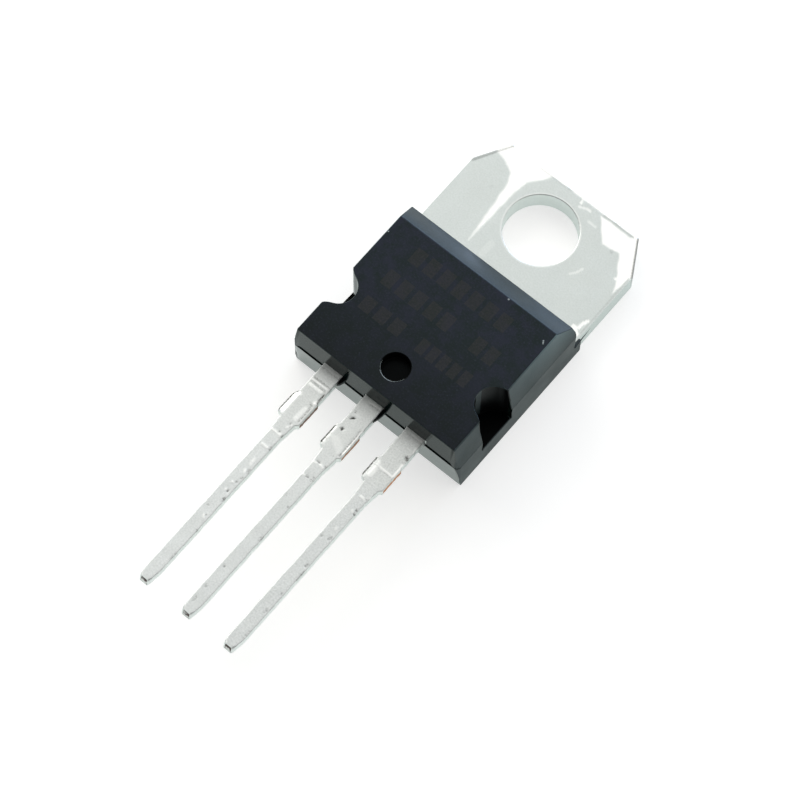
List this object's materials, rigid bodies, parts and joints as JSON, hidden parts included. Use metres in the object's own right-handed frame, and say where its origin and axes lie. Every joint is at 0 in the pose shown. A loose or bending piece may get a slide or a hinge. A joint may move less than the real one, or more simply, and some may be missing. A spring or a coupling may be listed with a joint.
{
  "type": "voltage regulator",
  "caption": "Three-lead voltage regulator: a black moulded body on a flat heat-sink tab with one mounting hole, and straight tinned leads in one row.",
  "frame": {"origin": "on the axis of the mounting hole, at the back face of the heat-sink plate", "axes": "+X across the package towards the output lead, +Y along it towards the free end of the tab, +Z out of the back face towards the marked face"},
  "size_m": [0.0104, 0.0289, 0.0045],
  "materials": {
    "moulding_compound": "black epoxy moulding compound, matte as moulded",
    "tinned_copper_plate": "copper plate with a satin tin plating",
    "tinned_copper_lead": "copper strip with a satin tin plating, bare copper where it was cut",
    "silicon": "polished silicon",
    "soft_solder": "dull soft solder",
    "bond_wire": "drawn aluminium wire"
  },
  "bodies": {
    "root": {"moulded_body": "moulding_compound", "heatsink_tab": "tinned_copper_plate", "input_lead": "tinned_copper_lead", "output_lead": "tinned_copper_lead", "silicon_die": "silicon", "die_solder": "soft_solder", "input_bond_wire": "bond_wire", "output_bond_wire": "bond_wire", "sense_bond_wire": "bond_wire", "ground_bond_wire": "bond_wire"}
  },
  "joints": []
}
